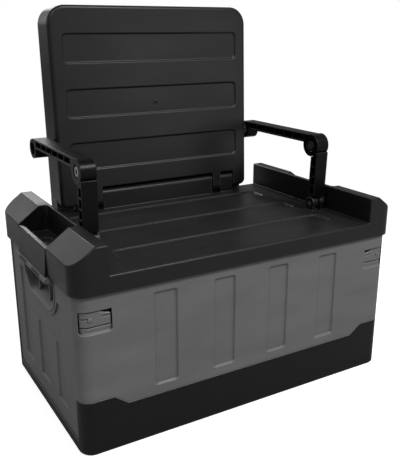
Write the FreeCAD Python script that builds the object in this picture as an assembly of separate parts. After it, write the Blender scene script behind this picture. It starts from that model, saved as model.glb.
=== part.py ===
import FreeCAD, Part
import math
import os
from FreeCAD import Vector

# Fishing seat box: a folding crate with a lift-off lid that carries a folding backrest and armrests.
# Millimetres. X runs along the long side, Y to the rear, Z up. The origin is the middle of the underside.

# Crate
box_length = 600.0
box_depth = 352.0
corner_radius = 21.0
skin = 3.0
floor_underside = 6.0
base_chamfer = 2.5
foot_rim = 12.0
floor_rib = 3.0
floor_cells_x = 6
floor_cells_y = 4

# Base rims: high along the front and rear, higher still at the corners, low at the ends
long_rim_z = 75.0
corner_rim_z = 92.0
end_rim_z = 18.0
ramp_start = 76.0
ramp_end = 53.0
rim_wrap = 2.0
seam = 0.5

# Walls
wall_top_z = 266.0
flange = 12.0
panel_count = 4
panel_pitch = 105.5
panel_width = 42.0
panel_corner = 6.0
panel_relief = 3.0
panel_draft = 3.0
panel_foot_gap = 15.0
panel_head_gap = 20.0
end_wall_set_in = 1.5
comb_relief = 3.0
comb_draft = 2.0
finger_tip_slope = 4.5
comb_bottom_z = 50.0
comb_top_gap = 43.0
column_width = 42.0
finger_height = 103.0
finger_width = 43.0
finger_offset = 45.0

# Grip cup under each latch flap
cup_half_width = 80.0
cup_height = 57.0
cup_depth = 22.0
cup_corner = 42.0
cup_slope = 12.0
cup_side_slope = 6.0
cup_floor_corner = 18.0
cup_rib_offset = 27.0
cup_rib = 2.5

# Lock windows near the corners of the long walls
window_inset = 5.0
window_width = 49.5
window_height = 26.0
window_drop = 29.0
tongue_gap = 2.0
tongue_reveal = 2.0
tongue_groove = 1.2
scoop_height = 10.0
scoop_depth = 2.8
scoop_slope = 2.6
scoop_corner = 6.0
tongue_wedge = 5.5

# Wall hinges: a bead along the foot of each wall turns in two ears of the base
bead_radius = 4.5
bead_fit = 0.1
bead_ear = 4.0
long_bead_inset = 78.0
end_bead_inset = 26.0

# Latch flaps
flap_width = 141.0
flap_thickness = 4.0
flap_axis_drop = 0.4
flap_axis_out = 8.0
flap_foot_out = 4.0
flap_barrel_radius = 5.0
flap_pin_radius = 2.0
flap_pin_fit = 0.05
flap_turn_gap = 0.4
lug_width = 26.0
lug_pitch = 66.0
lug_gap = 0.6
lip_overlap = 2.0
lip_lift_gap = 2.5
lip_thickness = 3.0

# Lid
lid_overhang = 5.0
lid_wall_gap = 2.0
lid_drop = 4.5
lid_rest_gap = 0.1
seat_rise = 23.0
seat_plate = 3.0
seat_edge_radius = 4.0
end_block_width = 57.5
end_block_height = 44.5
ridge_width = 20.5
facet_low_z_above_seat = 17.5
tray_half_width = 73.0
tray_inner_wall = 6.0
tray_outer_wall = 3.0
tray_outer_height = 11.0
tray_corner = 8.0
flap_side_gap = 3.0
tray_dimple_radius = 11.0
tray_dimple_y = 22.0
block_edge_radius = 2.5
recess_half_width = 206.0
recess_depth = 2.2
recess_draft = 2.0
recess_length = 46.0
recess_pitch = 103.5
recess_rear_y = 124.0
recess_corner = 11.0
relief_depth = 1.0
gusset = 2.5
gusset_pitch = 110.0
gusset_reach = 18.0
lid_rib = 2.5
lid_rib_depth = 12.0

# Backrest hinge on the lid
hinge_setback = 17.0
hinge_height = 18.5
hinge_block_half_width = 121.0
hinge_block_front = 16.0
hinge_block_rear = 14.0
hinge_block_height = 37.0
hinge_block_radius = 7.0
knuckle_width = 28.2
tab_width = 18.2
side_gap = 1.6
rod_radius = 4.0
rod_fit = 0.06

# Backrest
back_front_gap = 17.9
back_lean = 2.5
back_overhang = 5.0
back_below_hinge = 8.0
back_thick_top = 54.0
back_thick_bottom = 60.0
back_corner_top = 33.0
back_corner_bottom = 12.0
back_edge_radius = 6.0
back_skin = 3.0
cutout_height = 24.5
cutout_depth = 44.0
back_panel_side = 23.0
back_panel_height = 52.5
back_panel_pitch = 96.0
back_panel_top = 47.0
back_panel_corner = 9.0
back_panel_relief = 2.4
back_panel_draft = 3.0
cover_gap = 0.4
cover_ledge = 5.0

# Armrest linkage: hinge, rear pivot, elbow and foot stand at the corners of a parallelogram
link_span = 218.0
foot_height = 13.0
post_back = 7.0
post_length = 109.0
crank_back = 10.8
crank_up = 104.8
arm_width = 26.0
arm_wall_gap = 6.0
arm_back_gap = 11.5
arm_top_rise = 19.3
arm_under_rise = 3.6
arm_web = 3.0
arm_flange = 3.0
arm_rib = 2.4
arm_rib_count = 5
elbow_radius = 20.5
elbow_cheek = 6.0
hood_skin = 3.0
hood_end_angle = 216.0
rear_disc_radius = 17.5
rear_counterbore = 12.0
rear_counterbore_depth = 8.0
rear_pin_radius = 4.0
rear_pin_play = 1.3
rear_boss_radius = 15.0
rear_boss_gap = 0.7
tongue_clearance = 0.5
elbow_pin_radius = 5.5
elbow_pin_bore = 4.0
elbow_head_radius = 8.0
elbow_head = 1.2
elbow_sink_radius = 11.0
elbow_sink = 1.8
post_front_offset = 12.8
shoulder_drop = 12.0
post_rear_offset = 4.0
post_flange = 3.0
post_web = 3.0
post_rib_count = 3
foot_barrel_radius = 11.8
foot_barrel_width = 9.6
foot_lug_gap = 0.5
foot_lug_width = 8.6
foot_pin_radius = 4.0
foot_clear = 1.0
pin_fit = 0.05

# Places worked out from the sizes above
half_length = box_length / 2
half_depth = box_depth / 2
lid_bottom_z = wall_top_z - lid_drop
seat_z = wall_top_z + seat_rise
lid_half_length = half_length + lid_overhang
lid_half_depth = half_depth + lid_overhang
lid_corner = corner_radius + lid_overhang
block_inner_x = lid_half_length - end_block_width
block_top_z = seat_z + end_block_height
facet_low_z = seat_z + facet_low_z_above_seat
arm_outer_x = block_inner_x - arm_wall_gap
arm_inner_x = arm_outer_x - arm_width
arm_mid_x = (arm_outer_x + arm_inner_x) / 2
back_half_width = arm_inner_x - arm_back_gap
hinge_y = lid_half_depth - hinge_setback
hinge_z = seat_z + hinge_height
foot_y = hinge_y - link_span
foot_z = seat_z + foot_height
elbow_y = foot_y + post_back
elbow_z = foot_z + post_length
rear_y = hinge_y + crank_back
rear_z = hinge_z + crank_up
floor_top_z = floor_underside + skin
flap_axis_x = half_length + flap_axis_out
flap_axis_z = lid_bottom_z - flap_barrel_radius - flap_axis_drop
tongue_z = wall_top_z - window_drop - window_height / 2 - seam
end_face_x = half_length - end_wall_set_in
end_recess_x = end_face_x - comb_relief
end_inner_x = end_recess_x - skin
end_frame_y = half_depth - corner_radius - rim_wrap
end_wing_y = end_frame_y + 5.0


def block(x0, x1, y0, y1, z0, z1):
    return Part.makeBox(x1 - x0, y1 - y0, z1 - z0, Vector(x0, y0, z0))


def rod_x(x0, x1, y, z, radius):
    return Part.makeCylinder(radius, x1 - x0, Vector(x0, y, z), Vector(1, 0, 0))


def rod_y(y0, y1, x, z, radius):
    return Part.makeCylinder(radius, y1 - y0, Vector(x, y0, z), Vector(0, 1, 0))


def prism_x(points, x0, x1):
    corners = [Vector(x0, y, z) for y, z in points]
    face = Part.Face(Part.makePolygon(corners + corners[:1]))
    return face.extrude(Vector(x1 - x0, 0, 0))


def prism_y(points, y0, y1):
    corners = [Vector(x, y0, z) for x, z in points]
    face = Part.Face(Part.makePolygon(corners + corners[:1]))
    return face.extrude(Vector(0, y1 - y0, 0))


def rounded_outline(u0, u1, v0, v1, radii, place):
    """Closed wire of a rectangle whose corners (u0v0, u1v0, u1v1, u0v1) have the given radii."""
    corners = [(u0, v0, 1, 1), (u1, v0, -1, 1), (u1, v1, -1, -1), (u0, v1, 1, -1)]
    edges = []
    ends = []
    for index, (u, v, su, sv) in enumerate(corners):
        r = radii[index]
        before = (u, v + sv * r) if index % 2 == 0 else (u + su * r, v)
        after = (u + su * r, v) if index % 2 == 0 else (u, v + sv * r)
        bow = r * (1 - math.sqrt(0.5))
        ends.append((before, after))
        middle = (u + su * bow, v + sv * bow)
        edges.append(Part.Arc(place(*before), place(*middle), place(*after)).toShape())
    for index in range(4):
        start = ends[index][1]
        finish = ends[(index + 1) % 4][0]
        edges.append(Part.LineSegment(place(*start), place(*finish)).toShape())
    return Part.Wire(Part.__sortEdges__(edges))


def rounded_plan(half_x, half_y, radius, z0, z1):
    wire = rounded_outline(-half_x, half_x, -half_y, half_y, [radius] * 4, lambda u, v: Vector(u, v, z0))
    return Part.Face(wire).extrude(Vector(0, 0, z1 - z0))


def rounded_pad(x0, x1, y0, y1, z0, z1, radius):
    wire = rounded_outline(x0, x1, y0, y1, [radius] * 4, lambda u, v: Vector(u, v, z0))
    return Part.Face(wire).extrude(Vector(0, 0, z1 - z0))


def rounded_panel_y(x0, x1, z0, z1, y0, y1, radii):
    wire = rounded_outline(x0, x1, z0, z1, radii, lambda u, v: Vector(u, y0, v))
    return Part.Face(wire).extrude(Vector(0, y1 - y0, 0))


def rounded_panel_x(y0, y1, z0, z1, x0, x1, radii):
    wire = rounded_outline(y0, y1, z0, z1, radii, lambda u, v: Vector(x0, u, v))
    return Part.Face(wire).extrude(Vector(x1 - x0, 0, 0))


def drafted_pocket(u0, u1, v0, v1, radius, depth, draft, place, beyond=0.0):
    """Solid of a pocket whose sides slope inwards by draft, or outwards if it is negative.

    place(u, v, w) is the point w below the face. The solid stands 1 above the face and goes beyond the floor.
    """
    slope = draft / depth
    rings = []
    for w in (-1.0, depth + beyond):
        inset = slope * w
        r = max(radius - inset, 0.5)
        rings.append(rounded_outline(u0 + inset, u1 - inset, v0 + inset, v1 - inset, [r] * 4,
                                     lambda u, v: place(u, v, w)))
    return Part.makeLoft(rings, True, True)


def other_end(shape):
    return shape.mirror(Vector(0, 0, 0), Vector(1, 0, 0))


def other_side(shape):
    return shape.mirror(Vector(0, 0, 0), Vector(0, 1, 0))


def both_ends(shape):
    return [shape, other_end(shape)]


def four_corners(shape):
    pair = both_ends(shape)
    return pair + [other_side(one) for one in pair]


def join(shapes):
    first, rest = shapes[0], shapes[1:]
    return first.fuse(rest).removeSplitter() if rest else first


def rim_line(drop):
    """Upper edge of the long base rims, seen from the front, lowered by drop."""
    start, end = half_length - ramp_start, half_length - ramp_end
    low, high = long_rim_z - drop, corner_rim_z - drop
    return [(-end, high), (-start, low), (start, low), (end, high)]


def long_bead_axis():
    y = -half_depth + skin + seam + bead_radius
    return y, long_rim_z - skin - 2 * bead_radius


def end_bead_axis():
    x = -end_inner_x + bead_radius + seam
    return x, floor_top_z + bead_radius + 0.5


def base_tray():
    shell = rounded_plan(half_length, half_depth, corner_radius, 0, corner_rim_z)
    foot_edges = [e for e in shell.Edges if e.BoundBox.ZMax < 0.01]
    shell = shell.makeChamfer(base_chamfer, foot_edges)
    cavity = rounded_plan(half_length - skin, half_depth - skin, corner_radius - skin,
                          floor_top_z, corner_rim_z + 1)
    line = rim_line(0)
    above = corner_rim_z + 1
    notch = prism_y([(line[0][0], above)] + line + [(line[3][0], above)], -half_depth - 1, half_depth + 1)
    end_notch = block(-half_length - 1, -half_length + corner_radius, -end_frame_y, end_frame_y,
                      end_rim_z, above)
    tray = shell.cut([cavity, notch] + both_ends(end_notch)).cut(floor_cells())
    return join([tray] + long_bead_ears() + end_bead_ears())


def floor_cells():
    width = (box_length - 2 * foot_rim - (floor_cells_x - 1) * floor_rib) / floor_cells_x
    depth = (box_depth - 2 * foot_rim - (floor_cells_y - 1) * floor_rib) / floor_cells_y
    cells = []
    for i in range(floor_cells_x):
        for j in range(floor_cells_y):
            x = -half_length + foot_rim + i * (width + floor_rib)
            y = -half_depth + foot_rim + j * (depth + floor_rib)
            cells.append(block(x, x + width, y, y + depth, -1, floor_underside))
    return cells


def long_bead_ears():
    """Ears on the inside of the front and rear rims, round the ends of the long beads."""
    y, z = long_bead_axis()
    r = bead_radius
    x0 = half_length - long_bead_inset
    rim = -half_depth + skin / 2
    web = prism_x([(rim, z - 4 * r), (rim, z + 2 * r), (y + 2 * r, z + 2 * r), (y + 2 * r, z - r)],
                  x0, x0 + bead_ear)
    ear = web.cut(rod_x(x0 - 1, x0 + bead_ear + 1, y, z, r + bead_fit))
    return four_corners(ear)


def end_bead_ears():
    """Open clips on the floor beside the end rims that hold the ends of the short beads."""
    x, z = end_bead_axis()
    r = bead_radius
    y0 = half_depth - end_bead_inset
    web = block(x - 1.6 * r, x + 1.6 * r, y0, y0 + bead_ear, floor_top_z - skin / 2, z + 0.55 * r)
    ear = web.cut(rod_y(y0 - 1, y0 + bead_ear + 1, x, z, r + bead_fit))
    return four_corners(ear)


def panel_centres():
    first = -panel_pitch * (panel_count - 1) / 2
    return [first + i * panel_pitch for i in range(panel_count)]


def front_wall():
    plan = rounded_plan(half_length, half_depth, corner_radius, long_rim_z + seam, wall_top_z)
    hollow = rounded_plan(half_length - skin, half_depth - skin, corner_radius - skin,
                          long_rim_z - 1, wall_top_z + 1)
    keep = block(-half_length - 1, half_length + 1, -half_depth - 1, -end_frame_y - seam, 0, wall_top_z + 1)
    shell = plan.cut(hollow).common(keep)
    line = rim_line(-seam)
    below = [(-half_length - 1, line[0][1])] + line + [(half_length + 1, line[0][1])]
    below += [(half_length + 1, 0), (-half_length - 1, 0)]
    shell = shell.cut(prism_y(below, -half_depth - 1, 0))
    inside_y = -half_depth + skin
    top_flange = block(-half_length + corner_radius, half_length - corner_radius, inside_y - 0.5,
                       inside_y + flange, wall_top_z - skin, wall_top_z)
    parts = [shell, top_flange, front_apron()]
    pockets = []
    for x in panel_centres():
        x0, x1 = x - panel_width / 2, x + panel_width / 2
        z0, z1 = long_rim_z + panel_foot_gap, wall_top_z - panel_head_gap
        t = skin - 0.4
        parts.append(block(x0 - t, x1 + t, inside_y - 0.5, inside_y + panel_relief, z0 - t, z1 + t))
        pockets.append(drafted_pocket(x0, x1, z0, z1, panel_corner, panel_relief, panel_draft,
                                      lambda u, v, w: Vector(u, w - half_depth, v)))
    return join(parts + scoop_backs()).cut(pockets + windows())


def front_apron():
    """Apron that hangs inside the base rim and ends in the wall's hinge bead."""
    y, z = long_bead_axis()
    x1 = half_length - long_bead_inset - 1
    outer = -half_depth + skin + seam
    profile = [(-half_depth + skin / 2, long_rim_z + seam), (-half_depth + skin / 2, long_rim_z + 4 * skin),
               (outer, long_rim_z + 4 * skin), (outer + skin, long_rim_z + 3 * skin), (outer + skin, z),
               (outer, z), (outer, long_rim_z + seam)]
    bead = rod_x(-x1 - bead_ear, x1 + bead_ear, y, z, bead_radius)
    return join([prism_x(profile, -x1, x1), bead])


def inset_plan(inset, z0, z1):
    """Plan of the crate, drawn inwards by inset."""
    return rounded_plan(half_length - inset, half_depth - inset, corner_radius - inset, z0, z1)


def window_place():
    """Left edge, right edge, bottom and top of the window near the left end."""
    x0 = window_inset - half_length
    top = wall_top_z - window_drop
    return x0, x0 + window_width, top - window_height, top


def windows():
    """The windows near both ends, each with a finger scoop below it that follows the rounded corner."""
    x0, x1, bottom, top = window_place()
    slot = block(x0, x1, -half_depth - 1, -half_depth + corner_radius, bottom, top)
    foot = bottom - scoop_height
    shelf = foot + scoop_slope
    spread = scoop_depth / scoop_slope
    rings = []
    for inset, z in ((-spread, foot - 1), (scoop_depth, shelf)):
        rings.append(rounded_outline(inset - half_length, half_length - inset, inset - half_depth,
                                     half_depth - inset, [corner_radius - inset] * 4,
                                     lambda u, v: Vector(u, v, z)))
    core = [Part.makeLoft(rings, True, True), inset_plan(scoop_depth, shelf - 0.01, bottom + 2)]
    zone = rounded_panel_y(x0, x1, foot, bottom + 2, -half_depth - 2, -half_depth + corner_radius - 2,
                           [scoop_corner, scoop_corner, 0.5, 0.5])
    scoop = zone.cut(core)
    return both_ends(slot) + both_ends(scoop)


def scoop_backs():
    """Thickening of the wall behind the finger scoops."""
    x0, x1, bottom, top = window_place()
    t = skin - 0.4
    zone = block(x0 - t, x1 + t, -half_depth, -end_wing_y - 1, bottom - scoop_height - t, bottom)
    ring = inset_plan(skin - 0.4, 0, wall_top_z).cut(inset_plan(skin + scoop_depth, -1, wall_top_z + 1))
    return both_ends(zone.common(ring))


def comb_top():
    return wall_top_z - comb_top_gap


def comb_recess():
    """The sunk field of an end wall, with two fingers and the border of the grip cup left standing in it."""
    half = end_frame_y - column_width

    def place(u, v, w):
        return Vector(w - end_face_x, u, v)

    field = drafted_pocket(-half, half, comb_bottom_z, comb_top(), 5.0, comb_relief, comb_draft, place)
    standing = [cup_outline(-2 * skin, -end_face_x - 2, -end_recess_x + 1)]
    tip = comb_bottom_z + finger_height
    for y in (-finger_offset, finger_offset):
        y0, y1 = y - finger_width / 2, y + finger_width / 2
        finger = drafted_pocket(y0, y1, comb_bottom_z - 10, tip + 9, 4.0, comb_relief, -comb_draft,
                                place, 1.0)
        crop = prism_y([(-end_face_x - 2, tip - finger_tip_slope - 2), (-end_recess_x + 2, tip + 2),
                        (-end_recess_x + 2, tip + 20), (-end_face_x - 2, tip + 20)], y0 - 9, y1 + 9)
        standing.append(finger.cut(crop))
    return field.cut(standing)


def comb_backs():
    """Hollows behind the proud columns, fingers and bottom band, open to the inside."""
    half = end_frame_y - column_width
    x0, x1 = -end_face_x + skin, -end_inner_x + 1
    z0, z1 = end_rim_z + seam + skin, wall_top_z - skin
    hollows = []
    for side in (-1, 1):
        inner, outer = side * (half + skin), side * (end_frame_y - skin)
        hollows.append(block(x0, x1, min(inner, outer), max(inner, outer), z0, z1))
    hollows.append(block(x0, x1, -half, half, z0 + 2 * bead_radius, comb_bottom_z - skin))
    for y in (-finger_offset, finger_offset):
        hollows.append(block(x0, x1, y - finger_width / 2 + skin, y + finger_width / 2 - skin,
                             comb_bottom_z, comb_bottom_z + finger_height - skin))
    return hollows


def left_end_wall():
    x0, x1 = -end_face_x, -end_inner_x
    half = end_frame_y - seam
    plate = block(x0, x1, -half, half, end_rim_z + seam, wall_top_z)
    wing_x = -half_length + skin + seam
    wings = block(wing_x, x1, -end_wing_y, end_wing_y, end_rim_z + seam, wall_top_z)
    body = join([plate, wings]).cut([comb_recess()] + comb_backs())
    body = join([body, end_flanges()] + lock_tongues() + [cup_shell()] + latch_lugs() + [end_bead()])
    bore = rod_y(-cup_half_width - lug_width, cup_half_width + lug_width, -flap_axis_x, flap_axis_z,
                 flap_pin_radius)
    turns = [rod_y(y0 - lug_gap, y1 + lug_gap, -flap_axis_x, flap_axis_z, flap_barrel_radius + flap_turn_gap)
             for y0, y1 in flap_knuckles()]
    return body.cut([cup_hollow(), bore] + turns)


def end_flanges():
    """Side returns and top flange that stiffen an end wall."""
    x0 = -end_inner_x - skin
    deep = -half_length + window_inset + window_width
    sides = []
    for side in (-1, 1):
        inner, outer = side * (end_wing_y - skin), side * end_wing_y
        sides.append(block(x0, deep, min(inner, outer), max(inner, outer), end_rim_z + 2 * skin, wall_top_z))
    top = block(x0, -end_inner_x + flange, -end_wing_y, end_wing_y, wall_top_z - skin, wall_top_z)
    return join(sides + [top])


def lock_tongues():
    """Blocks on the side returns that fill the windows of the long walls and lock the corner."""
    left, right, bottom, top = window_place()
    x0, x1 = left + tongue_gap, right - tongue_gap
    z0, z1 = bottom + tongue_gap, top - tongue_gap
    middle = (z0 + z1) / 2
    y1 = -end_wing_y + skin
    body = inset_plan(tongue_reveal, z0, z1).common(block(x0, x1, -half_depth, y1, z0, z1))
    deep = inset_plan(tongue_reveal + skin, z0 + skin, z1 - skin)
    hollow = deep.common(block(x0 + skin, x1 - skin, -half_depth, y1 + skin, z0, z1))
    face = -half_depth + tongue_reveal
    low = z1 - tongue_wedge
    wedge = prism_y([((x0 + x1) / 2, z1 + 1), (x1 + 1, low), (x1 + 1, z1 + 1)], face - 1, face + 6.0)
    grooves = [block(x0 - 1, x0 + 12.0, face - 1, face + 6.0, middle + 1.0, middle + 2.5),
               block(x1 - 14.0, x1 + 1, face - 1, face + tongue_groove, low - 4.0, low - 2.0), wedge]
    button = rod_y(face - 1.0, face + 1.0, x0 + 14.0, middle, 3.4)
    tongue = join([body.cut([hollow] + grooves), button])
    return [tongue, other_side(tongue)]


def cup_outline(offset, x0, x1):
    y = cup_half_width - offset
    top = flap_axis_z - flap_barrel_radius - lug_gap
    z0, z1 = top - cup_height + offset, top - offset
    r = cup_corner - offset
    return rounded_panel_x(-y, y, z0, z1, x0, x1, [r, r, 1.0, 1.0])


def cup_shell():
    return cup_outline(0, -half_length + 0.5, -half_length + cup_depth + skin)


def cup_hollow():
    """Hollow of the grip cup. Its sides and its foot slope inwards, and two ribs stand in it."""
    top = flap_axis_z - flap_barrel_radius - lug_gap - skin
    foot = top + 2 * skin - cup_height
    side = cup_half_width - skin
    rings = []
    for share in (-0.1, 1.0):
        half = side - cup_side_slope * share
        r = cup_corner - skin + (cup_floor_corner - cup_corner + skin) * share
        x = -half_length + cup_depth * share
        rings.append(rounded_outline(-half, half, foot + cup_slope * share, top, [r, r, 1.0, 1.0],
                                     lambda u, v: Vector(x, u, v)))
    hollow = Part.makeLoft(rings, True, True)
    ribs = []
    for y in (-cup_rib_offset, cup_rib_offset):
        ribs.append(block(-half_length + 4 * cup_rib, -half_length + cup_depth + 1, y - cup_rib / 2,
                          y + cup_rib / 2, 0, wall_top_z))
    return hollow.cut(ribs)


def lug_places():
    return [-lug_pitch, 0.0, lug_pitch]


def latch_lugs():
    r = flap_barrel_radius
    lugs = []
    for y in lug_places():
        y0, y1 = y - lug_width / 2, y + lug_width / 2
        web = block(-flap_axis_x, -end_recess_x + 1, y0, y1, flap_axis_z - r, flap_axis_z + r)
        lugs.append(join([web, rod_y(y0, y1, -flap_axis_x, flap_axis_z, r)]))
    bridge = block(-end_face_x, -end_inner_x, -lug_pitch - lug_width / 2, lug_pitch + lug_width / 2,
                   flap_axis_z - r, wall_top_z)
    return lugs + [bridge]


def end_bead():
    """Hinge bead along the foot of an end wall."""
    x, z = end_bead_axis()
    y1 = half_depth - end_bead_inset - 1
    web = block(-end_inner_x - skin, x, -y1, y1, end_rim_z + seam, z + bead_radius + skin)
    hanger = block(x - bead_radius, x, -y1, y1, z, z + bead_radius + skin)
    return join([web, hanger, rod_y(-y1 - bead_ear, y1 + bead_ear, x, z, bead_radius)])


def flap_knuckles():
    """Spans of the flap's hinge barrels, between the lugs of the end wall."""
    reach = lug_pitch - lug_width / 2 - lug_gap
    near = lug_width / 2 + lug_gap
    return [(-reach, -near), (near, reach)]


def lip_top_z():
    return tray_wall_top() + lip_lift_gap + lip_thickness


def tray_wall_top():
    return seat_z + tray_outer_height


def tray_wall_x():
    """Outer face of the low wall of an end tray, under the flap's lip."""
    return lid_half_length - flap_thickness - 1.5


def left_latch_flap():
    x0 = -lid_half_length
    x1 = x0 + flap_thickness
    r = flap_barrel_radius
    half = flap_width / 2
    foot0, foot1 = x0 - flap_foot_out, x1 - flap_foot_out
    foot_z0 = flap_axis_z + r + 0.8
    side = [(x0, lip_top_z()), (foot0, foot_z0), (foot1, foot_z0), (x1, lip_top_z())]
    plate = prism_y(side, -half, half)
    lip = block(x0, -tray_wall_x() + lip_overlap, -half, half, lip_top_z() - lip_thickness, lip_top_z())
    body = join([plate, lip])
    top_edge = [e for e in body.Edges if e.BoundBox.ZMin > lip_top_z() - 0.01 and e.BoundBox.XMax < x0 + 0.01]
    body = body.makeFillet(1.6, top_edge)
    knuckles = []
    for y0, y1 in flap_knuckles():
        web = block(foot0 + 0.2, foot1 - 0.2, y0, y1, flap_axis_z, flap_axis_z + r + 1.6)
        knuckles.append(join([web, rod_y(y0, y1, -flap_axis_x, flap_axis_z, r)]))
    bore = rod_y(-half, half, -flap_axis_x, flap_axis_z, flap_pin_radius + flap_pin_fit)
    return join([body] + knuckles).cut(bore)


def left_latch_pin():
    reach = lug_pitch + lug_width / 2
    return rod_y(-reach, reach, -flap_axis_x, flap_axis_z, flap_pin_radius)


def block_profile(offset):
    """Section of the left end block seen from the front, drawn inwards by offset."""
    out = -lid_half_length + offset
    inn = -block_inner_x - offset
    ridge = -block_inner_x - ridge_width
    slope = (block_top_z - facet_low_z) / (lid_half_length - block_inner_x - ridge_width)
    run = offset * math.sqrt(1 + slope * slope)
    facet_low = facet_low_z + offset * slope - run
    top = block_top_z - offset
    ridge_in = ridge + (run - offset) / slope
    return [(out, lid_bottom_z - 1), (out, facet_low), (ridge_in, top), (inn, top), (inn, lid_bottom_z - 1)]


def lid_outer():
    skirt = rounded_plan(lid_half_length, lid_half_depth, lid_corner, lid_bottom_z, seat_z)
    edge = [e for e in skirt.Edges if e.BoundBox.ZMin > seat_z - 0.01 and e.BoundBox.XLength > box_length / 2]
    skirt = skirt.makeFillet(seat_edge_radius, edge)
    tower = rounded_plan(lid_half_length, lid_half_depth, lid_corner, lid_bottom_z, block_top_z)
    end = tower.common(prism_y(block_profile(0), -lid_half_depth - 1, lid_half_depth + 1))
    return join([skirt] + both_ends(end.makeFillet(block_edge_radius, block_edges(end))))


def block_edges(end):
    """Edges of an end block above the seat, and the upright edges beside the seat."""
    edges = []
    for edge in end.Edges:
        box = edge.BoundBox
        level = box.ZMin > facet_low_z - 0.01
        beside_seat = box.XMin > -block_inner_x - 0.01 and box.ZLength > end_block_height
        if level or beside_seat:
            edges.append(edge)
    return edges


def lid_hollow():
    """Everything under the seat plate and inside the end blocks that is open from below."""
    low = rounded_plan(half_length + lid_wall_gap, half_depth + lid_wall_gap, corner_radius + lid_wall_gap,
                       lid_bottom_z - 1, seat_z - seat_plate)
    reach = tray_wall_x() - tray_outer_wall
    middle = low.common(block(-reach, reach, -half_depth, half_depth, lid_bottom_z - 1, seat_z - seat_plate))
    side = tray_half_width + skin
    ends = low.cut(block(-lid_half_length, lid_half_length, -side, side, 0, block_top_z))
    core = rounded_plan(lid_half_length - skin, lid_half_depth - skin, lid_corner - skin, lid_bottom_z - 1,
                        block_top_z)
    core = core.common(prism_y(block_profile(skin), -lid_half_depth, lid_half_depth))
    core = core.cut(block(-lid_half_length, 0, -side, side, 0, block_top_z))
    return [middle, ends] + both_ends(core)


def tray_cut():
    """The open tray in the left end block and the seat of the latch flap outside it."""
    inner = -block_inner_x - tray_inner_wall
    y = tray_half_width
    outer = -tray_wall_x() + tray_outer_wall
    r = tray_corner
    well = rounded_pad(outer - 2 * r, inner, -y, y, seat_z, block_top_z + 1, r)
    well = well.common(block(outer, 0, -y, y, seat_z, block_top_z + 1))
    mouth = block(-lid_half_length - 1, outer + 1, -y, y, tray_wall_top(), block_top_z + 1)
    side = flap_width / 2 + flap_side_gap
    flap_seat = block(-lid_half_length - 1, -tray_wall_x(), -side, side, lid_bottom_z - 1, block_top_z + 1)
    wide = tray_half_width + 2 * skin
    under = block(-half_length - lid_wall_gap, outer + 1, -wide, wide, lid_bottom_z - 1, wall_top_z + 1)
    dimple = Part.makeCylinder(tray_dimple_radius, 2,
                               Vector((inner + outer) / 2, tray_dimple_y, seat_z - relief_depth))
    return [well, mouth, flap_seat, under, dimple]


def recess_rows():
    return [(recess_rear_y - i * recess_pitch - recess_length, recess_rear_y - i * recess_pitch)
            for i in range(3)]


def seat_panel_backs(z0, z1, grow):
    half = recess_half_width + grow
    return [block(-half, half, y0 - grow, y1 + grow, z0, z1) for y0, y1 in recess_rows()]


def seat_panels():
    half = recess_half_width
    return [drafted_pocket(-half, half, y0, y1, recess_corner, recess_depth, recess_draft,
                           lambda u, v, w: Vector(u, v, seat_z - w)) for y0, y1 in recess_rows()]


def lid_ribs():
    z0 = seat_z - seat_plate - lid_rib_depth
    z1 = seat_z - seat_plate + 0.5
    t = lid_rib / 2
    reach = half_depth - 2 * flange
    ribs = [block(-block_inner_x, block_inner_x, y - t, y + t, z0, z1) for y in (-reach / 3, reach / 3)]
    for x in (-1.5 * gusset_pitch, 0, 1.5 * gusset_pitch):
        ribs.append(block(x - t, x + t, -reach, reach, z0, z1))
    return ribs


def lid_gussets():
    """Short ribs inside the skirt. Their undersides stand on the top edges of the walls."""
    z0, z1 = wall_top_z + lid_rest_gap, seat_z - seat_plate + 0.5
    t = gusset / 2
    y1 = -half_depth - lid_wall_gap - 0.5
    front = []
    count = int((half_length - corner_radius) / gusset_pitch)
    for i in range(-count, count + 1):
        x = i * gusset_pitch
        front.append(block(x - t, x + t, y1, y1 + gusset_reach, z0, z1))
    x1 = -half_length - lid_wall_gap - 0.5
    first = tray_half_width + 2 * skin
    last = half_depth - corner_radius
    step = (last - first) / 2
    ends = []
    for i in range(2):
        y = first + 2 * i * step
        ends.append(block(x1, x1 + gusset_reach, y - t, y + t, z0, z1))
    return front + [other_side(one) for one in front] + [c for one in ends for c in four_corners(one)]


def hinge_profile(front, rear, height, radius):
    """Outline of the lid's hinge housings, a block with a rounded upper front edge."""
    y0, y1 = hinge_y - front, hinge_y + rear
    z0, z1 = seat_z - 1, seat_z + height
    bow = radius * (1 - math.sqrt(0.5))
    points = [Vector(0, y0, z0), Vector(0, y0, z1 - radius), Vector(0, y0 + bow, z1 - bow),
              Vector(0, y0 + radius, z1), Vector(0, y1 - radius, z1), Vector(0, y1 - bow, z1 - bow),
              Vector(0, y1, z1 - radius), Vector(0, y1, z0)]
    edges = [Part.LineSegment(points[0], points[1]), Part.Arc(points[1], points[2], points[3]),
             Part.LineSegment(points[3], points[4]), Part.Arc(points[4], points[5], points[6]),
             Part.LineSegment(points[6], points[7]), Part.LineSegment(points[7], points[0])]
    return Part.Face(Part.Wire([e.toShape() for e in edges]))


def hinge_housing(x0, x1):
    face = hinge_profile(hinge_block_front, hinge_block_rear, hinge_block_height, hinge_block_radius)
    face.translate(Vector(x0, 0, 0))
    return face.extrude(Vector(x1 - x0, 0, 0))


def knuckle_span():
    x0 = hinge_block_half_width + side_gap + tab_width + side_gap
    return x0, x0 + knuckle_width


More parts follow.
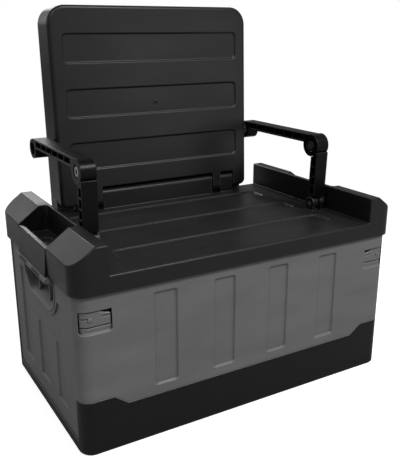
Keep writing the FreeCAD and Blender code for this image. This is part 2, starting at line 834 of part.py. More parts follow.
def hinge_cores():
    """Hollows of the centre hinge housing, open from below, between webs that carry the rod."""
    count = 2
    pitch = (2 * hinge_block_half_width - 2 * skin) / count
    cores = []
    for i in range(count):
        x0 = -hinge_block_half_width + 2 * skin + i * pitch
        cores.append(block(x0, x0 + pitch - 2 * skin, hinge_y - hinge_block_front + skin,
                           hinge_y + hinge_block_rear - skin, seat_z - seat_plate - 1,
                           seat_z + hinge_block_height - skin))
    return cores


def foot_lug_spans():
    near = foot_barrel_width / 2 + foot_lug_gap
    far = near + foot_lug_width
    return [(arm_mid_x - far, arm_mid_x - near), (arm_mid_x + near, arm_mid_x + far)]


def foot_lugs():
    """Round lugs, in pairs, that hold the feet of the posts."""
    r = foot_barrel_radius
    lugs = []
    for x0, x1 in foot_lug_spans():
        pedestal = block(x0, x1, foot_y - 0.8 * r, foot_y + 0.8 * r, seat_z - 1, foot_z)
        lugs.append(join([rod_x(x0, x1, foot_y, foot_z, r), pedestal]))
    return lugs


def seat_reliefs():
    """Shallow pockets in the seat under the feet of the posts and the hinge tabs of the backrest."""
    z0, z1 = seat_z - relief_depth, seat_z + 1
    half = foot_barrel_width / 2 + foot_lug_gap
    reach = 0.8 * foot_barrel_radius
    foot = block(arm_mid_x - half, arm_mid_x + half, foot_y - reach, foot_y + reach, z0, z1)
    tab = block(hinge_block_half_width, knuckle_span()[0], hinge_y - back_front_gap, lid_half_depth + 1,
                z0, z1)
    return both_ends(foot) + both_ends(tab)


def lid_shell():
    body = lid_outer().cut(lid_hollow() + seat_reliefs())
    body = body.cut([c for one in tray_cut() for c in both_ends(one)])
    grow = skin - 0.4
    bulges = seat_panel_backs(seat_z - seat_plate - recess_depth, seat_z - seat_plate + 0.5, grow)
    x0, x1 = knuckle_span()
    housings = [hinge_housing(-hinge_block_half_width, hinge_block_half_width)]
    housings += both_ends(hinge_housing(x0, x1))
    feet = [c for one in foot_lugs() for c in both_ends(one)]
    body = join([body] + bulges + lid_ribs() + lid_gussets() + housings + feet)
    rod = rod_x(-x1 - 1, x1 + 1, hinge_y, hinge_z, rod_radius)
    foot_bore = rod_x(foot_lug_spans()[0][0] - 1, foot_lug_spans()[1][1] + 1, foot_y, foot_z, foot_pin_radius)
    cuts = seat_panels() + hinge_cores() + [rod] + both_ends(foot_bore)
    return body.cut(cuts)


def back_height():
    return hinge_y + lid_half_depth + back_overhang + back_below_hinge


def back_front_y():
    return hinge_y - back_front_gap


def place_back(shape):
    """Lean the backrest, drawn upright, about the hinge axis."""
    shape.rotate(Vector(0, hinge_y, hinge_z), Vector(1, 0, 0), -back_lean)
    return shape


def back_outline(inset, y0, y1):
    z0 = hinge_z - back_below_hinge + inset
    z1 = hinge_z - back_below_hinge + back_height() - inset
    half = back_half_width - inset
    low = max(back_corner_bottom - inset, 1.0)
    high = max(back_corner_top - inset, 1.0)
    return rounded_panel_y(-half, half, z0, z1, y0, y1, [low, low, high, high])


def back_wedge(front, rear, half):
    """Side view of the backrest, thicker at its foot. front and rear move the two faces inwards."""
    y0 = back_front_y() + front
    z0 = hinge_z - back_below_hinge
    z1 = z0 + back_height()
    yb = back_front_y() + back_thick_bottom - rear
    yt = back_front_y() + back_thick_top - rear
    return prism_x([(y0, z0), (yb, z0), (yt, z1), (y0, z1)], -half, half)


def back_solid():
    deep = back_front_y() + back_thick_bottom + 1
    form = back_outline(0, back_front_y() - 1, deep).common(back_wedge(0, 0, back_half_width + 1))
    y0 = back_front_y()
    front_edges = [e for e in form.Edges if e.BoundBox.YMax < y0 + 0.01]
    return form.makeFillet(back_edge_radius, front_edges)


def back_panel_rows():
    top = hinge_z - back_below_hinge + back_height() - back_panel_top
    return [(top - i * back_panel_pitch - back_panel_height, top - i * back_panel_pitch) for i in range(3)]


def back_panels():
    half = back_half_width - back_panel_side
    return [drafted_pocket(-half, half, z0, z1, back_panel_corner, back_panel_relief, back_panel_draft,
                           lambda u, v, w: Vector(u, back_front_y() + w, v)) for z0, z1 in back_panel_rows()]


def back_cutouts():
    """Room for the lid's hinge housings in the foot of the backrest."""
    y0, y1 = back_front_y() - 1, back_front_y() + cutout_depth
    z0, z1 = hinge_z - 3 * back_below_hinge, hinge_z + cutout_height
    k0, k1 = knuckle_span()
    centre = block(-hinge_block_half_width - side_gap, hinge_block_half_width + side_gap, y0, y1, z0, z1)
    side = block(k0 - side_gap, k1 + side_gap, y0, y1, z0, z1)
    return [centre] + both_ends(side)


def back_tabs():
    """The two round-footed hinge tabs between the housings."""
    x0 = hinge_block_half_width + side_gap
    x1 = x0 + tab_width
    r = back_front_gap - 0.4
    bar = block(x0, x1, hinge_y - r, hinge_y + r, hinge_z, hinge_z + cutout_height + skin)
    return both_ends(join([bar, rod_x(x0, x1, hinge_y, hinge_z, r)]))


def cover_back_y(z):
    """Rear face of the backrest at height z."""
    part = (z - hinge_z + back_below_hinge) / back_height()
    return back_front_y() + back_thick_bottom + (back_thick_top - back_thick_bottom) * part


def back_cavity():
    deep = back_front_y() + back_thick_bottom + 1
    cavity = back_outline(back_skin, back_front_y(), deep)
    cavity = cavity.common(back_wedge(back_skin + back_panel_relief, -2, back_half_width))
    x1 = knuckle_span()[1] + side_gap + skin
    z1 = hinge_z + cutout_height + skin
    keep = block(-x1, x1, 0, back_front_y() + cutout_depth + skin, 0, z1)
    return cavity.cut(keep)


def cover_ledges():
    """Straight ledges inside the rim of the backrest that the rear cover lies on."""
    z0 = hinge_z - back_below_hinge
    z1 = z0 + back_height()
    low, high = z0 + cutout_height + 4 * back_skin, z1 - back_corner_top
    x0, x1 = back_half_width - back_skin - cover_ledge, back_half_width - back_skin / 2
    side = block(x0, x1, 0, 2 * lid_half_depth, low, high)
    top = block(-x0 + back_corner_top, x0 - back_corner_top, 0, 2 * lid_half_depth,
                z1 - back_skin - cover_ledge, z1 - back_skin / 2)
    between = back_wedge(back_thick_top - 4 * back_skin, back_skin, back_half_width)
    return [one.common(between) for one in both_ends(side) + [top]]


def backrest_shell():
    shell = back_solid().cut(back_cavity())
    x1 = knuckle_span()[1] + side_gap + 8
    rod = rod_x(-x1, x1, hinge_y, hinge_z, rod_radius + rod_fit)
    body = join([shell] + cover_ledges()).cut(back_cutouts())
    body = place_back(join([body] + back_tabs()).cut([rod] + back_panels()))
    sides = both_ends(arm_boss())
    bores = both_ends(rod_x(back_half_width - 2 * back_skin, arm_inner_x, rear_y, rear_z,
                            rear_pin_radius + rear_pin_play))
    return join([body] + sides).cut(bores)


def arm_boss():
    """Bearing boss for the armrest on the right side of the backrest."""
    x0 = back_half_width - back_skin / 2
    return rod_x(x0, arm_inner_x - rear_boss_gap, rear_y, rear_z, rear_boss_radius)


def backrest_cover():
    """Rear cover, let into the shell flush with its rim."""
    inset = back_skin + cover_gap
    deep = back_front_y() + back_thick_bottom + 1
    outline = back_outline(inset, back_front_y(), deep)
    plate = outline.common(back_wedge(back_thick_top - 6 * back_skin, 0, back_half_width))
    lower = back_front_y() + back_thick_bottom - back_skin
    upper = back_front_y() + back_thick_top - back_skin
    z0 = hinge_z - back_below_hinge
    z1 = z0 + back_height()
    front_part = prism_x([(back_front_y(), z0), (lower, z0), (upper, z1), (back_front_y(), z1)],
                         -back_half_width, back_half_width)
    plate = plate.cut(front_part)
    sunk = []
    bulge = []
    grow = back_skin - 0.4
    for x0, x1, z0, z1 in cover_fields():
        ya, yb = cover_back_y(z0), cover_back_y(z1)
        d = back_panel_relief
        sunk.append(field_slab(x0, x1, z0, z1, ya - d, yb - d, back_skin + 1, 0, back_panel_corner))
        bulge.append(field_slab(x0, x1, z0, z1, ya - d - back_skin, yb - d - back_skin, back_skin, grow, 0))
    plate = join([plate] + bulge).cut(sunk)
    return place_back(plate)


def cover_fields():
    half = back_half_width - back_panel_side
    return [(-half, half, z0, z1) for z0, z1 in back_panel_rows()]


def field_slab(x0, x1, z0, z1, y_low, y_high, thick, grow, corner):
    """A panel that follows the slope of the rear face, with rounded corners if corner is not zero."""
    slope = (y_high - y_low) / (z1 - z0)
    za, zb = z0 - grow, z1 + grow
    ya, yb = y_low - grow * slope, y_high + grow * slope
    slab = prism_x([(ya, za), (yb, zb), (yb + thick, zb), (ya + thick, za)], x0 - grow, x1 + grow)
    if corner == 0:
        return slab
    window = rounded_panel_y(x0, x1, z0, z1, min(ya, yb) - 9, max(ya, yb) + 9, [corner] * 4)
    return slab.common(window)


def hinge_rod():
    x1 = knuckle_span()[1] + side_gap + 7
    return rod_x(-x1, x1, hinge_y, hinge_z, rod_radius)


def arm_frame():
    """Elbow barrel, beam and rear disc of the right armrest, before its slot and bores."""
    x0, x1 = arm_inner_x, arm_outer_x
    top, under = elbow_z + arm_top_rise, elbow_z + arm_under_rise
    barrel = rod_x(x0, x1, elbow_y, elbow_z, elbow_radius)
    disc = rod_x(x0, x1, rear_y, rear_z, rear_disc_radius)
    beam = block(x0, x1, elbow_y, rear_y, under, top)
    start = elbow_y + elbow_radius + 2
    finish = rear_y - rear_disc_radius - 1
    pitch = (finish - start - arm_rib) / (arm_rib_count + 1)
    pockets = []
    for i in range(arm_rib_count + 1):
        y = start + arm_rib + i * pitch
        for a, b in ((x0 - 1, arm_mid_x - arm_web / 2), (arm_mid_x + arm_web / 2, x1 + 1)):
            pockets.append(block(a, b, y, y + pitch - arm_rib, under + arm_flange, top - arm_flange))
    return join([barrel, disc, beam]).cut(pockets)


def hood_opening(radius, half_width):
    """Sector of the elbow barrel that the post's tongue swings through."""
    a0, a1 = math.radians(hood_end_angle), math.radians(360)
    reach = 2 * radius
    points = [(elbow_y, elbow_z)]
    for step in range(5):
        a = a0 + (a1 - a0) * step / 4
        points.append((elbow_y + reach * math.cos(a), elbow_z + reach * math.sin(a)))
    return prism_x(points, arm_mid_x - half_width, arm_mid_x + half_width)


def right_armrest():
    half_slot = arm_width / 2 - elbow_cheek
    slot = rod_x(arm_mid_x - half_slot, arm_mid_x + half_slot, elbow_y, elbow_z, elbow_radius - hood_skin)
    body = arm_frame().cut([slot, hood_opening(elbow_radius, half_slot)])
    cuts = [rod_x(arm_inner_x - 1, arm_outer_x + 1, elbow_y, elbow_z, elbow_pin_radius),
            rod_x(arm_inner_x - 1, arm_outer_x + 1, rear_y, rear_z, rear_pin_radius),
            rod_x(arm_inner_x - 1, arm_inner_x + elbow_sink, elbow_y, elbow_z, elbow_sink_radius),
            rod_x(arm_outer_x - elbow_sink, arm_outer_x + 1, elbow_y, elbow_z, elbow_sink_radius),
            rod_x(arm_outer_x - rear_counterbore_depth, arm_outer_x + 1, rear_y, rear_z, rear_counterbore)]
    return body.cut(cuts)


def right_elbow_pin():
    x0, x1 = arm_inner_x + elbow_sink, arm_outer_x - elbow_sink
    tube = rod_x(x0 - elbow_head, x1 + elbow_head, elbow_y, elbow_z, elbow_pin_radius)
    heads = [rod_x(x0 - elbow_head, x0, elbow_y, elbow_z, elbow_head_radius),
             rod_x(x1, x1 + elbow_head, elbow_y, elbow_z, elbow_head_radius)]
    return join([tube] + heads).cut(rod_x(x0 - 9, x1 + 9, elbow_y, elbow_z, elbow_pin_bore))


def right_rear_pin():
    floor_x = arm_outer_x - rear_counterbore_depth
    shank = rod_x(back_half_width - 2 * back_skin, floor_x + 1, rear_y, rear_z, rear_pin_radius)
    head = rod_x(floor_x, floor_x + 3.5, rear_y, rear_z, 2 * rear_pin_radius)
    return join([shank, head])


def post_outline():
    """Side view of the post's full-width body, between the foot barrel and the elbow cheeks."""
    low = foot_z + foot_barrel_radius + foot_clear + 1
    high = elbow_z - elbow_radius - tongue_clearance
    front, rear = foot_y - post_front_offset, foot_y + post_rear_offset
    return front, rear, low, high


def right_post():
    front, rear, low, high = post_outline()
    x0, x1 = arm_inner_x, arm_outer_x
    slope = 3.0
    tip = elbow_z - shoulder_drop
    side = [(front + slope, low), (rear + slope, low), (rear, high), (rear, tip), (front, tip)]
    body = prism_x(side, x0, x1)
    pitch = (high - low - post_flange) / (post_rib_count + 1)
    pockets = [rod_x(x0 - 1, x1 + 1, elbow_y, elbow_z, elbow_radius + tongue_clearance)]
    for i in range(post_rib_count + 1):
        z = low + post_flange + i * pitch
        f0 = front + slope * (high - z) / (high - low) + post_flange
        f1 = front + slope * (high - z - pitch + post_flange) / (high - low) + post_flange
        depth = rear - front - 2 * post_flange
        top = z + pitch - post_flange
        points = [(f0, z), (f0 + depth, z), (f1 + depth, top), (f1, top)]
        pockets.append(prism_x(points, x0 - 1, arm_mid_x - post_web / 2))
        pockets.append(prism_x(points, arm_mid_x + post_web / 2, x1 + 1))
    return join([body.cut(pockets), post_tongue(), post_foot()]).cut(post_bores())


def post_tongue():
    """Flat tongue that enters the slot of the elbow."""
    front, rear, low, high = post_outline()
    half = arm_width / 2 - elbow_cheek - tongue_clearance
    r = elbow_radius - hood_skin - 2 * tongue_clearance
    eye = rod_x(arm_mid_x - half, arm_mid_x + half, elbow_y, elbow_z, 0.6 * r)
    neck = prism_x([(front + 2, high - 1), (rear - 1, high - 1), (elbow_y - 0.5, elbow_z - 4),
                    (elbow_y - 0.5 * r, elbow_z)], arm_mid_x - half, arm_mid_x + half)
    return join([eye, neck])


def post_foot():
    front, rear, low, high = post_outline()
    half = foot_barrel_width / 2
    barrel = rod_x(arm_mid_x - half, arm_mid_x + half, foot_y, foot_z, foot_barrel_radius)
    r = foot_barrel_radius
    neck = prism_x([(front + 3.0, low + 1), (rear + 3.0, low + 1), (foot_y + 0.55 * r, foot_z),
                    (foot_y - 0.8 * r, foot_z)], arm_mid_x - half, arm_mid_x + half)
    return join([barrel, neck])


def post_bores():
    return [rod_x(arm_inner_x - 1, arm_outer_x + 1, elbow_y, elbow_z, elbow_pin_radius + pin_fit),
            rod_x(arm_inner_x - 1, arm_outer_x + 1, foot_y, foot_z, foot_pin_radius + pin_fit)]


def right_foot_pin():
    return rod_x(foot_lug_spans()[0][0], foot_lug_spans()[1][1], foot_y, foot_z, foot_pin_radius)


def mirrored_pair(name, shape):
    return {"right_" + name: shape, "left_" + name: other_end(shape)}


def all_parts():
    wall = front_wall()
    end = left_end_wall()
    flap = left_latch_flap()
    pin = left_latch_pin()
    parts = {
        "base_tray": base_tray(),
        "front_wall": wall,
        "rear_wall": other_side(wall),
        "left_end_wall": end,
        "right_end_wall": other_end(end),
        "left_latch_flap": flap,
        "right_latch_flap": other_end(flap),
        "left_latch_pin": pin,
        "right_latch_pin": other_end(pin),
        "lid_shell": lid_shell(),
        "backrest_shell": backrest_shell(),
        "backrest_cover": backrest_cover(),
        "hinge_rod": hinge_rod(),
    }
    parts.update(mirrored_pair("armrest", right_armrest()))
    parts.update(mirrored_pair("post", right_post()))
    parts.update(mirrored_pair("elbow_pin", right_elbow_pin()))
    parts.update(mirrored_pair("rear_pin", right_rear_pin()))
    parts.update(mirrored_pair("foot_pin", right_foot_pin()))
    return parts


def write_parts():
    os.makedirs("parts", exist_ok=True)
    for name, shape in all_parts().items():
        shape.exportStep("parts/" + name + ".step")
        print(name, "solids", len(shape.Solids), "valid", shape.isValid(), "volume", round(shape.Volume))


write_parts()
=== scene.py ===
"""Looks of a fishing seat box: a grey folding crate, a black lid, a folding backrest and armrests."""
import math

import bpy
from mathutils import Matrix, Vector


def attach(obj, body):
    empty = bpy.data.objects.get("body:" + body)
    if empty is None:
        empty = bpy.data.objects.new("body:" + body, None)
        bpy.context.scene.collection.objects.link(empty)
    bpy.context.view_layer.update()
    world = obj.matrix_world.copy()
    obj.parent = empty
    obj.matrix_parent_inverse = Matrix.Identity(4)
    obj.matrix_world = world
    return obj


MM = 0.001

# Sunk panels of the front and rear walls, in millimetres as all sizes here
WALL_FACE_Y = 176.0
PANEL_COUNT = 4
PANEL_WIDTH = 42.0
PANEL_PITCH = 105.5
PANEL_DEPTH = 3.0
PANEL_FOOT_Z = 90.0
RAMP_HEIGHT = 11.0

# Backrest as the part has it: upright, then leaned back about its hinge
HINGE_Y = 164.0
HINGE_Z = 307.5
BACK_LEAN = 2.5
BACK_FRONT_Y = 146.1
BACK_FOOT_Z = 299.5
BACK_HEIGHT = 358.0
BACK_THICK_TOP = 54.0
BACK_THICK_FOOT = 60.0
BACK_PANEL_DEPTH = 2.4

# Gate mark of the backrest's mould, with its height above the foot of the backrest
GATE_X = -1.4
GATE_HEIGHT = 184.5
GATE_RADIUS = 4.2
GATE_RISE = 1.5

# Skirts at the foot of the backrest: front and rear are depths behind its front face, drop and rise are
# below and above its foot
SKIRT_INNER_X = 173.0
SKIRT_OUTER_X = 204.6
SKIRT_FRONT = 24.5
SKIRT_REAR = 59.2
SKIRT_DROP = 8.5
SKIRT_RISE = 13.0

# Screws of the rear cover. A row's place is its height above the foot of the backrest.
SCREW_ROW_LOW = 72.0
SCREW_ROW_HIGH = 316.0
SCREW_COLUMNS_APART = 384.0
SCREW_PROUD = 0.3
HEAD_RADIUS = 3.6
HEAD_HEIGHT = 1.3
SLOT_WIDTH = 0.9
SLOT_LENGTH = 4.2

# Finish of the mouldings. A spacing is the distance from mark to mark, as so many to a metre. The slope is in
# radians.
PLASTIC_IOR = 1.49
EDGE_ROUND = 2.4
# Reach of the painted shade that darkens gaps and inner corners
PAINTED_SHADE_REACH = 7.0
GRAIN_DEPTH = 0.05
FLOW_SPACING = 1000 / 7
FLOW_SQUASH = 3.5
FLOW_SMOOTHS = 0.05
FLOW_ROUGHENS = 0.07
SCUFF_SPACING = 1000 / 270
SCUFF_STRETCH = 10.0
SCUFF_SLOPE = 0.12
SCUFF_SHARE = 0.06
SCUFF_ROUGHENS = 0.10
# Share of pale on edges that face up, from rubbing and a painted highlight
WEAR_AND_HIGHLIGHT_ON_TOP = 0.55

# Finish of the wire
DRAWN_LINE_SPACING = 1000 / 2200
DRAWN_LINE_STRETCH = 25.0
DRAWN_LINE_DEPTH = 0.02

# Studio floor: what it reflects to the camera, the glow it adds to that, what it reflects on to the object,
# and the distances between which its shadow fades out
FLOOR_REACH_M = 9.0
FLOOR_GREY = 0.86
FLOOR_GLOW = 0.70
FLOOR_BOUNCE = 0.45
FADE_FROM_M = 0.8
FADE_TO_M = 1.6

# Light from the surroundings, where 1 is the white that the camera sees
WORLD_LIGHT = 0.20

# Soft boxes: name, place and aim in metres, width in metres, power in watts
SOFT_BOXES = (
    ("key", (0.9, -2.0, 2.5), (0.0, 0.0, 0.25), 0.6, 49.0),
    ("near", (-0.9, -1.5, 2.1), (0.0, 0.0, 0.25), 0.4, 12.0),
    ("front", (1.3, -2.2, 0.6), (0.0, 0.0, 0.4), 0.8, 5.0),
    ("left", (-3.0, 0.2, 1.6), (-0.1, 0.0, 0.25), 0.6, 6.0),
    ("rear", (-1.0, 1.9, 1.3), (-0.2, 0.0, 0.3), 1.2, 5.0),
    ("behind", (0.3, 2.8, 1.9), (0.0, 0.0, 0.25), 0.8, 24.0),
)

# Camera fitted to the edges of the crate and the seat in the photograph, its turn and tip in degrees
CAMERA_PLACE_M = (-0.57022, -0.97646, 0.62110)
CAMERA_TURN = -30.502
CAMERA_TIP = 17.719
CAMERA_LENS = 49.914
CAMERA_SENSOR = 36.0


def linear(code):
    """Linear RGBA of an sRGB hex colour."""
    channels = [int(code[i:i + 2], 16) / 255 for i in (1, 3, 5)]
    return tuple(c / 12.92 if c <= 0.04045 else ((c + 0.055) / 1.055) ** 2.4 for c in channels) + (1.0,)


def add(tree, kind, inputs=None, **settings):
    """Adds a node to a tree. An input is a value, or the socket that feeds it."""
    node = tree.nodes.new(kind)
    for name, value in settings.items():
        setattr(node, name, value)
    for key, value in (inputs or {}).items():
        if isinstance(value, bpy.types.NodeSocket):
            tree.links.new(value, node.inputs[key])
        else:
            node.inputs[key].default_value = value
    return node


def new_material(name):
    """An empty material and its node tree."""
    material = bpy.data.materials.new(name)
    material.use_nodes = True
    material.node_tree.nodes.clear()
    return material, material.node_tree


def mixed(tree, share, first, second):
    """Colour between two others. Each is a value or a socket."""
    return add(tree, "ShaderNodeMix", {0: share, 6: first, 7: second}, data_type="RGBA").outputs[2]


def pattern_scale(spacing):
    """Scale of a noise whose marks lie this far apart."""
    return 1 / (spacing * MM)


def moulded_plastic(name, colour, rub_and_highlight, grain, roughness, shine, foot_wear_and_highlight=0.10, bloom=0.10):
    """Injection-moulded plastic with a spark-eroded mould finish: polypropylene or nylon.

    The grain breaks up the highlight. Long flow marks make tone and gloss uneven along the part. Edges are
    paler, partly where they are rubbed and partly by a painted highlight that grows where they face up, a
    thin bloom lies on what faces up, and painted shade darkens gaps and inner corners.
    grain is its spacing: a real one is finer than 0.3 mm, and it is drawn coarser than that so that it shows.
    foot_wear_and_highlight is the rubbing and painted highlight of edges that turn downwards, and shine is
    the specular level.
    """
    pale = linear(rub_and_highlight)
    material, t = new_material(name)
    place = add(t, "ShaderNodeTexCoord")
    spot = place.outputs["Object"]
    stretch = add(t, "ShaderNodeMapping", {"Vector": spot, "Scale": (1.0, 1.0, FLOW_SQUASH)})
    flow = add(t, "ShaderNodeTexNoise", {"Vector": stretch.outputs[0], "Scale": pattern_scale(FLOW_SPACING),
                                         "Detail": 3.0, "Roughness": 0.6})
    fine = add(t, "ShaderNodeTexNoise", {"Vector": spot, "Scale": pattern_scale(grain), "Detail": 2.0,
                                         "Roughness": 0.65})
    streak = add(t, "ShaderNodeMapping", {"Vector": spot, "Scale": (1 / SCUFF_STRETCH, 1.0, 1.0),
                                          "Rotation": (0.0, 0.0, SCUFF_SLOPE)})
    scuffs = add(t, "ShaderNodeTexNoise", {"Vector": streak.outputs[0], "Scale": pattern_scale(SCUFF_SPACING),
                                           "Detail": 5.0, "Roughness": 0.75})
    scuffed = add(t, "ShaderNodeMapRange", {"Value": scuffs.outputs[0], "From Min": 0.60, "From Max": 0.80})
    # Near an edge the rounded normal turns away from the face's own
    rounded = add(t, "ShaderNodeBevel", {"Radius": EDGE_ROUND * MM}, samples=8)
    face = add(t, "ShaderNodeNewGeometry")
    turn = add(t, "ShaderNodeVectorMath", {0: rounded.outputs[0], 1: face.outputs["Normal"]},
               operation="DOT_PRODUCT")
    corner = add(t, "ShaderNodeMapRange", {"Value": turn.outputs["Value"], "From Min": 0.995,
                                           "From Max": 0.88})
    up = add(t, "ShaderNodeSeparateXYZ", {0: place.outputs["Normal"]})
    flat = add(t, "ShaderNodeMapRange", {"Value": up.outputs["Z"], "From Min": 0.75, "From Max": 1.0})
    settle = add(t, "ShaderNodeMath", {0: flat.outputs[0], 1: flow.outputs[0]}, operation="MULTIPLY")
    lying = add(t, "ShaderNodeMath", {0: settle.outputs[0], 1: bloom}, operation="MULTIPLY")
    tone = add(t, "ShaderNodeMapRange", {"Value": flow.outputs[0], "From Min": 0.3, "From Max": 0.7,
                                         "To Min": 0.90, "To Max": 1.10})
    # Painted shade: the colour darkens in gaps and inner corners, as far as the occlusion reaches
    open_air = add(t, "ShaderNodeAmbientOcclusion", {"Distance": PAINTED_SHADE_REACH * MM}, samples=8)
    unshaded = add(t, "ShaderNodeMapRange", {"Value": open_air.outputs["AO"], "From Min": 0.40, "From Max": 0.95,
                                          "To Min": 0.12, "To Max": 1.0})
    share = add(t, "ShaderNodeMath", {0: tone.outputs[0], 1: unshaded.outputs[0]}, operation="MULTIPLY")
    base = add(t, "ShaderNodeVectorMath", {0: linear(colour)[:3], "Scale": share.outputs[0]},
               operation="SCALE")
    dusted = mixed(t, lying.outputs[0], base.outputs[0], pale)
    scuff_share = add(t, "ShaderNodeMath", {0: scuffed.outputs[0], 1: SCUFF_SHARE}, operation="MULTIPLY")
    scratched = mixed(t, scuff_share.outputs[0], dusted, pale)
    # Edges paler from rubbing and from a painted highlight that grows as the rounded normal turns upwards
    leaning = add(t, "ShaderNodeSeparateXYZ", {0: rounded.outputs[0]})
    upward_wear_and_highlight = add(t, "ShaderNodeMapRange", {"Value": leaning.outputs["Z"], "From Min": -0.1, "From Max": 0.4,
                                            "To Min": foot_wear_and_highlight, "To Max": WEAR_AND_HIGHLIGHT_ON_TOP})
    proud = add(t, "ShaderNodeMath", {0: corner.outputs[0], 1: unshaded.outputs[0]}, operation="MULTIPLY")
    wear_and_highlight_share = add(t, "ShaderNodeMath", {0: proud.outputs[0], 1: upward_wear_and_highlight.outputs[0]}, operation="MULTIPLY")
    worn_and_highlit = mixed(t, wear_and_highlight_share.outputs[0], scratched, pale)
    gloss = add(t, "ShaderNodeMapRange", {"Value": flow.outputs[0], "From Min": 0.25, "From Max": 0.75,
                                          "To Min": roughness - FLOW_SMOOTHS,
                                          "To Max": roughness + FLOW_ROUGHENS})
    dull = add(t, "ShaderNodeMath", {0: scuffed.outputs[0], 1: SCUFF_ROUGHENS, 2: gloss.outputs[0]},
               operation="MULTIPLY_ADD")
    bump = add(t, "ShaderNodeBump", {"Height": fine.outputs[0], "Normal": rounded.outputs[0],
                                     "Strength": 0.35, "Distance": GRAIN_DEPTH * MM})
    body = add(t, "ShaderNodeBsdfPrincipled", {"Base Color": worn_and_highlit, "Roughness": dull.outputs[0],
                                               "Normal": bump.outputs[0], "IOR": PLASTIC_IOR,
                                               "Specular IOR Level": shine})
    add(t, "ShaderNodeOutputMaterial", {"Surface": body.outputs[0]})
    return material


def plated_steel(name):
    """Zinc-plated steel wire: bright and slightly bluish, with the lines that drawing leaves.

    The lines run along the length of the crate, as the hinge rod and most of the pins do.
    """
    material, t = new_material(name)
    place = add(t, "ShaderNodeTexCoord")
    along = add(t, "ShaderNodeMapping", {"Vector": place.outputs["Object"],
                                         "Scale": (1 / DRAWN_LINE_STRETCH, 1.0, 1.0)})
    lines = add(t, "ShaderNodeTexNoise", {"Vector": along.outputs[0],
                                          "Scale": pattern_scale(DRAWN_LINE_SPACING), "Detail": 2.0})
    rough = add(t, "ShaderNodeMapRange", {"Value": lines.outputs[0], "To Min": 0.22, "To Max": 0.42})
    bump = add(t, "ShaderNodeBump", {"Height": lines.outputs[0], "Strength": 0.25,
                                     "Distance": DRAWN_LINE_DEPTH * MM})
    body = add(t, "ShaderNodeBsdfPrincipled", {"Base Color": linear("#B4B8BC"), "Metallic": 1.0,
                                               "Roughness": rough.outputs[0], "Normal": bump.outputs[0]})
    add(t, "ShaderNodeOutputMaterial", {"Surface": body.outputs[0]})
    return material


def paint(objects, material):
    """Gives each object this one material."""
    for piece in objects:
        piece.data.materials.clear()
        piece.data.materials.append(material)


def new_tree(name, sizes):
    """A geometry tree with named number inputs, each with its usual value."""
    tree = bpy.data.node_groups.new(name, "GeometryNodeTree")
    tree.interface.new_socket("Geometry", in_out="OUTPUT", socket_type="NodeSocketGeometry")
    for label, value in sizes.items():
        socket = tree.interface.new_socket(label, in_out="INPUT", socket_type="NodeSocketFloat")
        socket.default_value = value
    return tree, add(tree, "NodeGroupInput").outputs


def made_by(tree, result, material, name):
    """Closes a geometry tree on its result and turns it into a plain mesh object."""
    real = add(tree, "GeometryNodeRealizeInstances", {0: result})
    coloured = add(tree, "GeometryNodeSetMaterial", {0: real.outputs[0], "Material": material})
    add(tree, "NodeGroupOutput", {0: coloured.outputs[0]})
    holder = bpy.data.objects.new(name + "_tree", bpy.data.meshes.new(name + "_tree"))
    bpy.context.scene.collection.objects.link(holder)
    modifier = holder.modifiers.new("tree", "NODES")
    modifier.node_group = tree
    for socket in tree.interface.items_tree:
        if socket.in_out == "INPUT":
            modifier[socket.identifier] = socket.default_value
    bpy.context.view_layer.update()
    evaluated = holder.evaluated_get(bpy.context.evaluated_depsgraph_get())
    mesh = bpy.data.meshes.new_from_object(evaluated)
    bpy.data.objects.remove(holder)
    piece = bpy.data.objects.new(name, mesh)
    bpy.context.scene.collection.objects.link(piece)
    return piece


def on_backrest(x, depth, height):
    """Point of the leaning backrest, depth behind its front face and height above its foot."""
    lean = Matrix.Rotation(math.radians(-BACK_LEAN), 4, "X")
    axis = Vector((0, HINGE_Y, HINGE_Z))
    point = axis + lean @ (Vector((x, BACK_FRONT_Y + depth, BACK_FOOT_Z + height)) - axis)
    return point * MM


def back_face(x, height):
    """Point on the rear face of the backrest, height above its foot."""
    thickness = BACK_THICK_FOOT + (BACK_THICK_TOP - BACK_THICK_FOOT) * height / BACK_HEIGHT
    return on_backrest(x, thickness, height)


def gate_mark(material):
    """The trimmed pip in the middle panel where the backrest's mould was filled."""
    tree, size = new_tree("gate_mark", {"Radius": GATE_RADIUS * MM, "Rise": GATE_RISE * MM})
    share = add(tree, "ShaderNodeMath", {0: size["Rise"], 1: size["Radius"]}, operation="DIVIDE")
    flat = add(tree, "ShaderNodeCombineXYZ", {"X": 1.0, "Y": share.outputs[0], "Z": 1.0})
    ball = add(tree, "GeometryNodeMeshUVSphere", {"Segments": 32, "Rings": 16, "Radius": size["Radius"]})
    place = on_backrest(GATE_X, BACK_PANEL_DEPTH, GATE_HEIGHT)
    pip = add(tree, "GeometryNodeTransform", {0: ball.outputs[0], "Scale": flat.outputs[0],
                                              "Translation": place})
    return made_by(tree, pip.outputs[0], material, "gate_mark")


